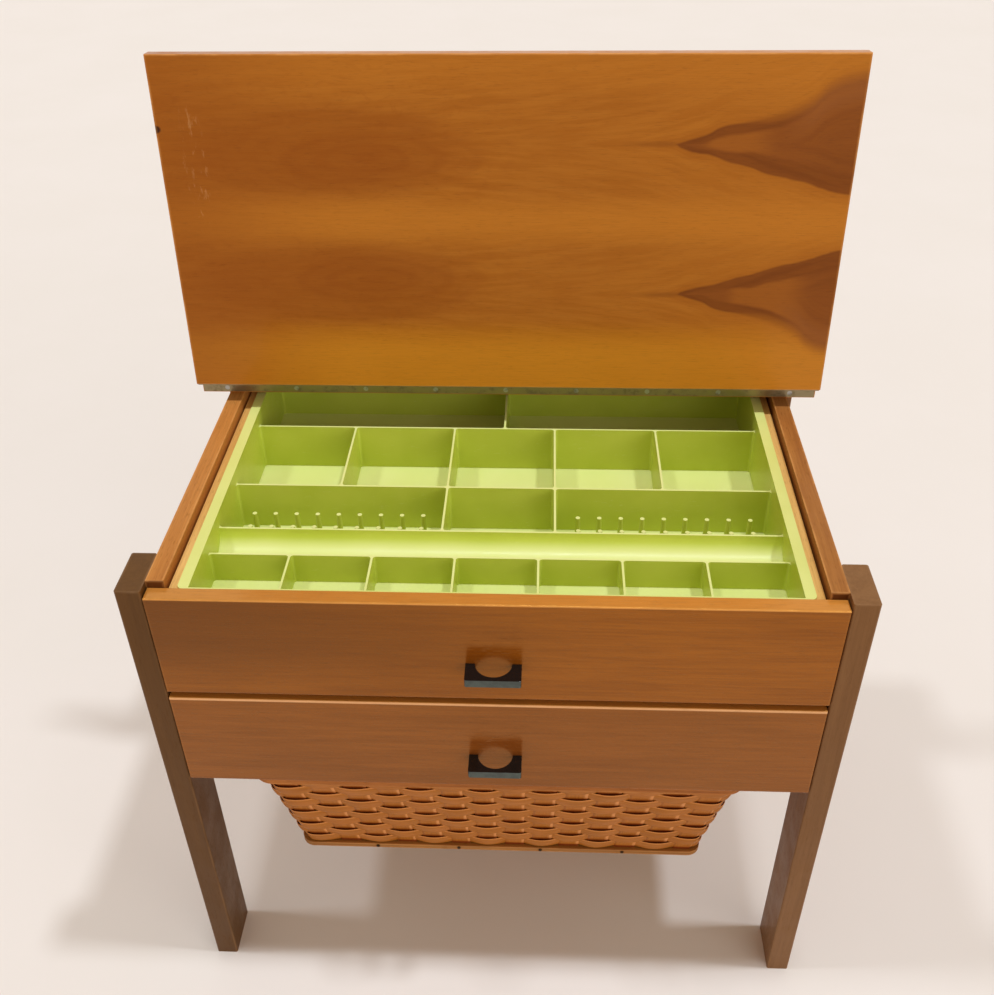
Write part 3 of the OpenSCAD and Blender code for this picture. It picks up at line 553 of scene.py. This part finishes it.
def veneer_ground(g, f):
    """Smooth golden ground, with dark ovals on the left and brighter or darker washes; the washes towards
    the hinge and towards the right end are painted light.
    """
    clouds = g.smooth(g.noise(g.plane(f.x, f.v, 0.35), 55 * MM, 2.0), 0.3, 0.7)
    ripples = g.smooth(g.noise(g.plane(f.x, f.q, 0.4), 8 * MM, 2.0, 0.6, 1.2), 0.52, 0.66)
    base = g.mix(g.times(f.lines, 0.8), LID_DEEP, LID_GOLD)
    base = g.mix(g.times(clouds, 0.45), base, LID_MID)
    loose_x = g.plus(f.x, g.times(f.slow, 3.0))
    loose_v = g.plus(f.v, g.times(f.slow, 1.6))
    for oval in OVALS:
        base = g.mix(g.oval(loose_x, loose_v, *oval), base, LID_OVAL)
    base = g.mix(g.times(ripples, g.smooth(f.x, 80 * MM, -120 * MM, 0.0, 0.22)), base, LID_OVAL)
    base = g.mix(veneer_rings(g, loose_x, loose_v), base, LID_OVAL)
    washes = (
        (f.v, 34 * MM, 3 * MM, 0.7, LID_BRIGHT),  # at the mirror line
        # painted light towards the hinge
        (f.q, 84 * MM, 40 * MM, 0.85, LID_LOW_PAINTED_LIGHT),  # towards the hinge
        (f.q, 285 * MM, 325 * MM, 0.4, LID_BRIGHT),  # towards the front edge
        # painted light towards the right end
        (f.x, 60 * MM, 300 * MM, 0.3, LID_BRIGHT),  # towards the right end
        (f.x, -150 * MM, -330 * MM, 0.55, LID_OVAL),  # towards the left end
    )
    for along, start, end, share, wash in washes:
        base = g.mix(g.smooth(along, start, end, 0.0, share), base, wash)
    near = g.times(g.smooth(f.off, 14 * MM, 0.0, 0.0, 0.22), g.smooth(f.s, -60 * MM, 10 * MM))
    return g.mix(near, base, LID_OVAL)


def veneer_flame(g, f):
    """Share and colour of the flames: a dark band inside the outline, round a lighter heart."""
    far_out = g.times(f.outer, g.smooth(f.s, 55 * MM, 110 * MM))
    soft = g.plus(1.4 * MM, g.times(far_out, 7 * MM))
    inside = g.times(g.smooth(f.off, soft, g.times(soft, -1.0)), g.smooth(f.s, -3 * MM, 5 * MM))
    into = g.minus(g.times(f.off, -1.0), f.drawn(BAND_RANGE, BAND_OUTER, BAND_INNER))
    core = g.smooth(into, -2 * MM, 3 * MM)
    from_start = g.smooth(g.minus(f.s, f.by_flame(56 * MM, 30 * MM)), -8 * MM, 8 * MM)
    to_end = g.smooth(g.minus(f.s, f.by_flame(122 * MM, 84 * MM)), 16 * MM, -16 * MM)
    heart = g.times(g.times(from_start, to_end), 0.85)
    flame = g.mix(g.times(heart, core), g.mix(core, LID_CONTOUR, LID_FLAME), LID_HEART)
    outermost = g.times(f.outer, g.smooth(f.off, -34 * MM, -12 * MM))
    flame = g.mix(g.times(outermost, g.smooth(f.s, 95 * MM, 135 * MM, 0.0, 0.7)), flame, LID_HAZE)
    inner_far = g.times(g.smooth(f.w, 4 * MM, -16 * MM), g.smooth(f.s, 110 * MM, 150 * MM, 0.0, 0.5))
    flame = g.mix(inner_far, flame, LID_CONTOUR)
    return inside, g.mix(g.times(f.lines, 0.2), flame, LID_HEART)


def veneer_spine(g, f):
    """Share of the dark line that leads to each flame's tip."""
    line = g.smooth(g.absolute(f.w), 4 * MM, 0.5 * MM)
    line = g.times(line, g.smooth(f.s, -70 * MM, -4 * MM, 0.0, 0.4))
    return g.times(line, g.smooth(f.s, 8 * MM, -4 * MM))


def with_marks(g, f, base):
    """The veneer with its knot and its scuffed patch, both on the inner face only."""
    knot = g.oval(f.x, f.q, *KNOT)
    base = g.mix(g.times(knot, f.inner_face), base, LID_KNOT)
    scuffs = g.smooth(g.noise(g.plane(f.x, f.q, 1.0, 0.3), 5 * MM, 3.0, 0.7), 0.54, 0.7)
    scuffs = g.times(scuffs, g.oval(f.x, f.q, *SCUFFED))
    return g.mix(g.times(scuffs, f.inner_face), base, LID_SCUFF)


def lid_veneer(g, where, _seed):
    """Colouring of the lid: book-matched veneer, with two flames mirrored about its middle line."""
    f = Figure(g, where)
    inside, flame = veneer_flame(g, f)
    base = g.mix(inside, veneer_ground(g, f), flame)
    base = g.mix(veneer_spine(g, f), base, LID_CONTOUR)
    return with_marks(g, f, base)


def plastic_lime():
    """Moulded lime plastic, with painted light: the faces that look up are painted paler than the walls.
    """
    g = Graph("lime_plastic")
    facing = g.parts(g.add("ShaderNodeNewGeometry").outputs["Normal"])[2]
    height = g.parts(g.place)[2]
    cloud = g.noise(g.place, 60 * MM, 3.0)
    scuff = g.noise(g.drawn_out(g.place, ALONG_X, 0.2, 7), 2.2 * MM, 3.0, 0.7)
    # Lit and shaded tones: the walls painted darker as shade, the faces that look up paler as light
    walls_painted_shade = g.mix(g.smooth(cloud, 0.3, 0.7), tone(197, 209, 73), tone(206, 216, 85))
    flange = g.mix(g.smooth(cloud, 0.3, 0.7), tone(222, 224, 126), tone(228, 230, 136))
    floors = g.mix(g.smooth(cloud, 0.3, 0.7), tone(230, 234, 144), tone(234, 236, 154))
    tops_painted_light = g.mix(g.smooth(height, FLANGE_Z - 6 * MM, FLANGE_Z - 3 * MM), floors, flange)
    colour = g.mix(g.smooth(facing, 0.4, 0.9), walls_painted_shade, tops_painted_light)
    colour = g.mix(g.smooth(scuff, 0.62, 0.74, 0.0, 0.2), colour, tone(232, 236, 170))
    return g.finish(
        Base_Color=colour,
        Roughness=g.smooth(scuff, 0.3, 0.7, 0.28, 0.42),
        Specular_IOR_Level=0.4,
        Normal=g.bump(g.noise(g.place, 5 * MM, 2.0), 0.06 * MM, 0.25),
    )


def plastic_black():
    """Black handle plastic: the top is glossy; the face towards the front is painted grey-green, partly as
    rubbing and partly as a painted reflection.
    """
    g = Graph("black_plastic")
    ahead = g.times(g.parts(g.add("ShaderNodeNewGeometry").outputs["Normal"])[1], -1.0)
    rub = g.noise(g.place, 6 * MM, 3.0, 0.6)
    face = g.smooth(ahead, 0.5, 0.9)
    # The front face painted grey-green: partly rubbing, partly painted reflection
    worn = g.times(face, g.smooth(rub, 0.3, 0.7, 0.55, 1.0))
    return g.finish(
        Base_Color=g.mix(worn, tone(14, 14, 16), tone(70, 82, 76)),
        Roughness=g.plus(g.smooth(rub, 0.35, 0.7, 0.12, 0.2), g.times(face, 0.25)),
        Specular_IOR_Level=0.5,
        Normal=g.bump(g.noise(g.place, 2 * MM, 2.0), 0.03 * MM, 0.2),
    )


def metal(name, colour, dull, rough):
    """Drawn or rolled metal with fine streaks from left to right and dull spots."""
    g = Graph(name)
    streaks = g.noise(g.drawn_out(g.place, ALONG_X, 0.02, 3), 0.6 * MM, 2.0)
    spots = g.noise(g.place, 9 * MM, 4.0, 0.65)
    return g.finish(
        Base_Color=g.mix(g.times(g.smooth(spots, 0.5, 0.68), 0.6), colour, dull),
        Metallic=1.0,
        Roughness=g.plus(g.smooth(spots, 0.35, 0.7, rough, rough + 0.18), g.times(streaks, 0.06)),
        Normal=g.bump(streaks, 0.03 * MM, 0.4),
    )


def splint(name, seed):
    """Split cane, varnished: fibres along the strip, a painted highlight on the top edges, and painted
    shade on the low edges and in the pockets.

    The strips' "strip" mark is (distance along, height across, number of the strip).
    """
    g = Graph(name)
    strip = g.add("ShaderNodeAttribute", attribute_name="strip").outputs["Vector"]
    pocket = g.add("ShaderNodeAttribute", attribute_name="pocket").outputs["Fac"]
    along, across, number = g.parts(strip)
    fibres = g.noise(g.join(g.times(along, 0.02), across, g.times(number, 1.7)), 0.9 * MM, 3.0, 0.6)
    tufts = g.noise(g.join(g.times(along, 0.25), across, g.plus(number, seed)), 9 * MM, 3.0, 0.6)
    every = g.noise(g.join(g.times(along, 3.0), 0.0, g.times(number, 7.3)), 120 * MM, 2.0)
    colour = g.mix(g.smooth(fibres, 0.3, 0.7), CANE_DARK, CANE_LIGHT)
    colour = g.mix(g.smooth(tufts, 0.35, 0.68, 0.0, 0.4), colour, CANE_TUFT)
    colour = g.mix(g.smooth(every, 0.35, 0.65, 0.0, 0.5), colour, CANE_PALE)
    # painted highlight on each strip's top edge
    colour = g.mix(g.smooth(across, SPLINT_H * 0.34, SPLINT_H * 0.46, 0.0, 0.8), colour, CANE_TOP_HIGHLIGHT)
    # painted shade on each strip's low edge
    colour = g.mix(g.smooth(across, -SPLINT_H * 0.4, -SPLINT_H * 0.5, 0.0, 0.3), colour, CANE_LOW_SHADE)
    # painted shade in the pockets
    colour = g.mix(pocket, colour, CANE_POCKET_SHADE)
    return g.finish(
        Base_Color=colour,
        Roughness=g.smooth(tufts, 0.3, 0.7, 0.36, 0.5),
        Specular_IOR_Level=0.3,
        Specular_Tint=CANE_GLINT,
        Normal=g.bump(fibres, 0.1 * MM, 0.45),
    )


def clamp(value):
    return max(0.0, min(1.0, value))


def row_foot(row):
    """Height of a row's lower edge. The rows grow a little towards the rim."""
    return min(FIRST_ROW_Z + ROW_PITCH * row + ROW_GROWTH * row * row, WALL_HIGH.z)


def wall_point(t, z):
    """Middle of the weave, t stakes to the right of the middle of the front, and the way out there."""
    share = (z - WALL_LOW.z) / (WALL_HIGH.z - WALL_LOW.z)
    half_x, half_y, r = (
        low + (high - low) * share - WEAVE_DEPTH for low, high in zip(WALL_BOTTOM, WALL_TOP)
    )
    t = (t + STAKE_LEAN * (1 - share) + FRONT_STAKES / 2) % STAKES
    for k in range(4):
        out = Matrix.Rotation(k * math.pi / 2, 2) @ Vector((0, -1))
        along = Matrix.Rotation(k * math.pi / 2, 2) @ Vector((1, 0))
        stakes = FRONT_STAKES if k % 2 == 0 else SIDE_STAKES
        reach, length = (half_y, half_x - r) if k % 2 == 0 else (half_x, half_y - r)
        if t < stakes:
            u = 2 * t / stakes - 1
            u *= STAKE_EVEN + (1 - STAKE_EVEN) * u * u
            point, way = out * reach + along * (length * u), out
            break
        if t < stakes + CORNER_STAKES:
            angle = (t - stakes) / CORNER_STAKES * math.pi / 2
            way = out * math.cos(angle) + along * math.sin(angle)
            point = out * (reach - r) + along * length + way * r
            break
        t -= stakes + CORNER_STAKES
    return Vector((point.x, point.y + WALL_MID_Y, z)), Vector((way.x, way.y, 0))


def strip_mesh(name, strips):
    """One mesh of closed strips. A strip is a list of rings of (point, strip mark, pocket), where pocket
    is the share of painted shade.
    """
    points, marks, pockets, faces = [], [], [], []
    for rings in strips:
        n = len(rings[0])
        for i, ring in enumerate(rings):
            start = len(points)
            for at, mark, pocket in ring:
                points.append(at)
                marks.append(mark)
                pockets.append(pocket)
            if i:
                for k in range(n):
                    m = (k + 1) % n
                    faces.append((start - n + k, start - n + m, start + m, start + k))
        first = len(points) - n * len(rings)
        faces.append(tuple(first + k for k in reversed(range(n))))
        faces.append(tuple(len(points) - n + k for k in range(n)))
    mesh = bpy.data.meshes.new(name)
    mesh.from_pydata(points, [], faces)
    layer = mesh.attributes.new("strip", "FLOAT_VECTOR", "POINT")
    layer.data.foreach_set("vector", [x for mark in marks for x in mark])
    mesh.attributes.new("pocket", "FLOAT", "POINT").data.foreach_set("value", pockets)
    mesh.polygons.foreach_set("use_smooth", [True] * len(mesh.polygons))
    mesh.set_sharp_from_angle(angle=SHARP_ANGLE)
    obj = bpy.data.objects.new(name, mesh)
    bpy.context.scene.collection.objects.link(obj)
    return obj


def splint_ring(half_h, half_t, crown):
    """Outline of a strip's cross-section as (height, outward) pairs, crowned on its outer face."""
    shoulder = half_h - SPLINT_SHOULDER
    return (
        (-half_h, 0.35 * half_t), (-shoulder, half_t), (-0.5 * shoulder, half_t + 0.75 * crown),
        (0, half_t + crown), (0.5 * shoulder, half_t + 0.75 * crown), (shoulder, half_t),
        (half_h, 0.35 * half_t), (half_h, -0.35 * half_t), (shoulder, -half_t),
        (0, -half_t + 0.5 * crown), (-shoulder, -half_t), (-half_h, -0.35 * half_t),
    )


def eased(values, place):
    """The value at a place, in stakes, that passes softly from each stake's own to the next one's."""
    k = int(place) % STAKES
    share = place - int(place)
    ease = share * share * (3 - 2 * share)
    return values[k] + (values[(k + 1) % STAKES] - values[k]) * ease


def weaver_pocket_shade(h, wave):
    """How deep in a pocket a weaver's face is, from 0 to 1: low on the strip, where it passes behind. It
    sets the painted shade there.
    """
    low = clamp(-(h + SPLINT_H * 0.22) / (SPLINT_H * 0.2))
    return low * clamp(-wave * 2.2 - 0.25)


def make_weavers():
    """The strips that run round the basket, in front of one stake and behind the next."""
    rng = random.Random(11)
    strips = []
    for row in range(ROWS):
        height = row_foot(row + 1) - row_foot(row) + ROW_LAP
        ring = splint_ring(height / 2, SPLINT_T / 2, SPLINT_CROWN)
        swing = [WAVE * rng.uniform(0.86, 1.1) for _ in range(STAKES)]
        rise = [rng.uniform(-1.0, 1.0) * WAVE_UP for _ in range(STAKES)]
        middle = row_foot(row) + height / 2
        rings = []
        for i in range(STAKES * STEPS_PER_STAKE + 1):
            place = i / STEPS_PER_STAKE
            t = place + STAKES / 2
            wave = math.cos(math.pi * (t + 0.5 + row))
            swung = eased(swing, place) * wave
            section = []
            for h, out in ring:
                point, way = wall_point(t, middle + eased(rise, place) + h)
                mark = (t * STAKE_PITCH, h, row * 1.0)
                section.append((point + way * (swung + out), mark, weaver_pocket_shade(h, wave)))
            rings.append(section)
        strips.append(rings)
    return strip_mesh("basket_weavers", strips)


def stake_pocket_shade(k, z):
    """How deep in the pocket behind a weaver the stake k is at height z, from 0 to 1. It sets the painted
    shade there.
    """
    row = max([r for r in range(ROWS) if row_foot(r) <= z], default=0)
    rows_up = row + (z - row_foot(row)) / ROW_PITCH
    above_front = (rows_up - k % 2) % 2 * ROW_PITCH
    if above_front > ROW_PITCH:
        return 1.0
    return clamp(1.6 - above_front / (2 * MM))


def make_stakes():
    """The upright strips that the weavers pass."""
    rng = random.Random(5)
    strips = []
    for k in range(STAKES):
        width = STAKE_W * rng.uniform(0.93, 1.04)
        ring = splint_ring(width / 2, STAKE_T / 2, STAKE_CROWN)
        rings = []
        for i in range(STAKE_STEPS + 1):
            z = WALL_LOW.z + (WALL_HIGH.z - WALL_LOW.z) * i / STAKE_STEPS
            section = []
            for across, out in ring:
                point, way = wall_point(k + 0.5 + across / STAKE_PITCH, z)
                mark = (z, across * 0.6, k + 40.0)
                section.append((point + way * (out - STAKE_BACK), mark, stake_pocket_shade(k, z)))
            rings.append(section)
        strips.append(rings)
    return strip_mesh("basket_stakes", strips)


def make_basket_wall():
    """The real weave, in place of the CAD wall."""
    weavers, stakes = make_weavers(), make_stakes()
    weavers.data.materials.append(splint("cane_weavers", 2.0))
    stakes.data.materials.append(splint("cane_stakes", 9.0))
    for piece in (weavers, stakes):
        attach(piece, "basket")
    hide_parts("basket_wall")


def dress(material, *names):
    """Gives CAD nodes their material."""
    for name in names:
        mesh = NODES[name].data
        mesh.materials.clear()
        mesh.materials.append(material)


def dress_boards(names, tones, axis, seed, **more):
    """Each board gets its own piece of the same wood."""
    for i, name in enumerate(names):
        paint = grain(*tones, axis)
        dress(wood("wood_" + name, paint, axis, seed + 5 * i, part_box(name), **more), name)


def dress_case():
    """Legs, panels, rear board and dowels."""
    for side, tones in (("left", LEG_LEFT_SHADED), ("right", LEG_RIGHT_LIT)):
        legs = [end + "_" + side + "_leg" for end in ("front", "rear")]
        dress_boards(legs, tones, ALONG_Z, 20, rough=0.4, fine=0.05, edge_tone=LEG_EDGE)
    for name, tones in (("left_side_panel", PANEL_LEFT), ("right_side_panel", PANEL_RIGHT)):
        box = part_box(name)
        paint = with_painted_end_shade(grain(*tones, ALONG_Y), box[0].y)
        dress(wood("wood_" + name, paint, ALONG_Y, 60, box, worn=0.6), name)
    dress_boards(["back_panel", "bottom_panel"], PLYWOOD, ALONG_X, 70, rough=0.6, worn=0.15)
    dress_boards(["rear_top_board"], REAR_BOARD, ALONG_X, 80, rough=0.36, coat=0.1, worn=0.6)
    dress_boards(["top_board_dowels"], DOWEL, ALONG_Z, 170, rough=0.6)


def dress_lid():
    """The lid's panel, veneered on both faces."""
    material = wood(
        "wood_lid_panel", lid_veneer, ALONG_X, 3, LID_BOX, place=shut_lid, rough=0.34, coat=0.1, worn=0.7,
        fine=0.07,
    )
    dress(material, "lid_panel")


def dress_front(level, tones, highlight_h, highlight_tone, seed):
    """A drawer's front, with a strong warm gloss and a painted highlight along its top. The upper one is
    darker on the left, as painted shade.
    """
    name = level + "_drawer_front"
    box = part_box(name)
    paint = grain(*tones, ALONG_X, 10 * MM)
    if level == "upper":
        paint = with_painted_shade_left(paint, box[0].z, box[1].z)
    paint = with_painted_top_highlight(paint, box[1].z, highlight_h, highlight_tone)
    material = wood(
        "wood_" + name, paint, ALONG_X, seed, box, rough=0.17, worn=0.1, gloss=1.0, glint=FRONT_GLINT
    )
    dress(material, name)


def dress_drawers():
    """Fronts, sides, backs and bottoms of both drawers, and the runners that carry them."""
    dress_front("upper", UPPER_FRONT, UPPER_HIGHLIGHT_H, UPPER_HIGHLIGHT_LINE, 90)
    dress_front("lower", LOWER_FRONT, LOWER_HIGHLIGHT_H, LOWER_HIGHLIGHT_LINE, 97)
    for level in ("upper", "lower"):
        sides = [level + "_drawer_" + side + "_side" for side in ("left", "right")]
        runners = [level + "_" + side + "_runner" for side in ("left", "right")]
        dress_boards(sides + runners, DRAWER_WOOD, ALONG_Y, 100, rough=0.55, worn=0.1)
        dress_boards([level + "_drawer_back"], DRAWER_WOOD, ALONG_X, 120, rough=0.55, worn=0.1)
        dress_boards([level + "_drawer_bottom"], PLYWOOD, ALONG_X, 130, rough=0.6, worn=0.1)


def dress_basket():
    """The basket's wooden pieces and the guides that it slides in."""
    strips = [side + kind for kind in ("_basket_guide", "_basket_slide") for side in ("left", "right")]
    dress_boards(strips, BATTEN, ALONG_Y, 140, rough=0.5, worn=0.1)
    dress_boards(["basket_rim"], BASKET_RIM, ALONG_X, 150)
    dress_boards(["basket_bottom_board"], BASKET_BOARD, ALONG_X, 160)


def dress_fittings():
    """Tray, handles, hinge, screws and nails."""
    dress(plastic_lime(), "sewing_tray")
    dress(plastic_black(), *HANDLES)
    hinge = metal("polished_hinge", tone(150, 136, 104), tone(118, 104, 74), 0.3)
    dress(hinge, "hinge_fixed_leaf", "hinge_lid_leaf", "hinge_pin")
    steel = metal("screw_steel", tone(176, 172, 164), tone(110, 102, 92), 0.32)
    dress(steel, *(name for name in NODES if name.endswith("_screws")))
    dress(metal("dark_nail", tone(70, 48, 30), tone(46, 30, 18), 0.5), "basket_nails")


def soften(name, width):
    """Rounds the sharp edges of a CAD node a little, so that they catch the light."""
    node = NODES[name]
    weld = node.modifiers.new("weld", "WELD")
    weld.merge_threshold = 0.005 * MM
    bevel = node.modifiers.new("bevel", "BEVEL")
    bevel.width = width
    bevel.segments = 2
    bevel.limit_method = "ANGLE"
    bevel.angle_limit = SHARP_ANGLE
    bevel.harden_normals = True


def make_floor():
    """A plain pale floor."""
    mesh = bpy.data.meshes.new("floor")
    corners = [(x * FLOOR_HALF, y * FLOOR_HALF, 0) for x, y in ((-1, -1), (1, -1), (1, 1), (-1, 1))]
    mesh.from_pydata(corners, [], [(0, 1, 2, 3)])
    floor = bpy.data.objects.new("floor", mesh)
    bpy.context.scene.collection.objects.link(floor)
    g = Graph("pale_floor")
    cloud = g.noise(g.place, 350 * MM, 4.0, 0.6)
    colour = g.mix(g.smooth(cloud, 0.2, 0.8), tone(238, 228, 219), tone(240, 230, 222))
    mesh.materials.append(g.finish(Base_Color=colour, Roughness=0.8, Specular_IOR_Level=0.1))


def far_lamp(name, towards, width, level, colour):
    """Even light from one direction. width is the angle it fills, in degrees."""
    lamp = bpy.data.lights.new(name, "SUN")
    lamp.color = colour
    lamp.angle = math.radians(width)
    lamp.energy = level * math.pi
    obj = bpy.data.objects.new(name, lamp)
    obj.rotation_euler = Vector(towards).to_track_quat("Z", "Y").to_euler()
    bpy.context.scene.collection.objects.link(obj)


def make_world():
    """Soft, warm room light, and a pale room where the camera, a gloss or glass looks past the object."""
    world = bpy.data.worlds.new("studio")
    bpy.context.scene.world = world
    world.use_nodes = True
    nodes, links = world.node_tree.nodes, world.node_tree.links
    path = nodes.new("ShaderNodeLightPath")
    seen = path.outputs["Is Camera Ray"]
    for kind in ("Is Glossy Ray", "Is Transmission Ray"):
        either = nodes.new("ShaderNodeMath")
        either.operation = "MAXIMUM"
        links.new(seen, either.inputs[0])
        links.new(path.outputs[kind], either.inputs[1])
        seen = either.outputs[0]
    room = nodes.new("ShaderNodeMix")
    room.data_type = "RGBA"
    links.new(seen, room.inputs[0])
    room.inputs[6].default_value = ROOM_LIGHT
    room.inputs[7].default_value = ROOM_SEEN
    links.new(room.outputs[2], nodes["Background"].inputs["Color"])


def make_camera():
    """The photograph's camera: turned by its yaw, tilted down, then rolled about the way it looks."""
    yaw, down, roll = CAMERA_YAW, CAMERA_DOWN, CAMERA_ROLL
    ahead = Vector((math.sin(yaw) * math.cos(down), math.cos(yaw) * math.cos(down), -math.sin(down)))
    level = Vector((math.cos(yaw), -math.sin(yaw), 0))
    under = ahead.cross(level)
    right = level * math.cos(roll) + under * math.sin(roll)
    below = under * math.cos(roll) - level * math.sin(roll)
    data = bpy.data.cameras.new("camera")
    data.sensor_width = SENSOR_MM
    data.lens = FOCAL_PX * SENSOR_MM / PHOTO_SIDE
    camera = bpy.data.objects.new("camera", data)
    bpy.context.scene.collection.objects.link(camera)
    turn = Matrix((right, -below, -ahead)).transposed()
    camera.matrix_world = Matrix.Translation(CAMERA_AT) @ turn.to_4x4()
    bpy.context.scene.camera = camera


dress_case()
dress_lid()
dress_drawers()
dress_basket()
dress_fittings()
for handle in HANDLES:
    soften(handle, HANDLE_EDGE)
make_basket_wall()
make_floor()
make_world()
for lamp in LAMPS:
    far_lamp(*lamp)
make_camera()
bpy.context.scene.view_settings.view_transform = "Standard"
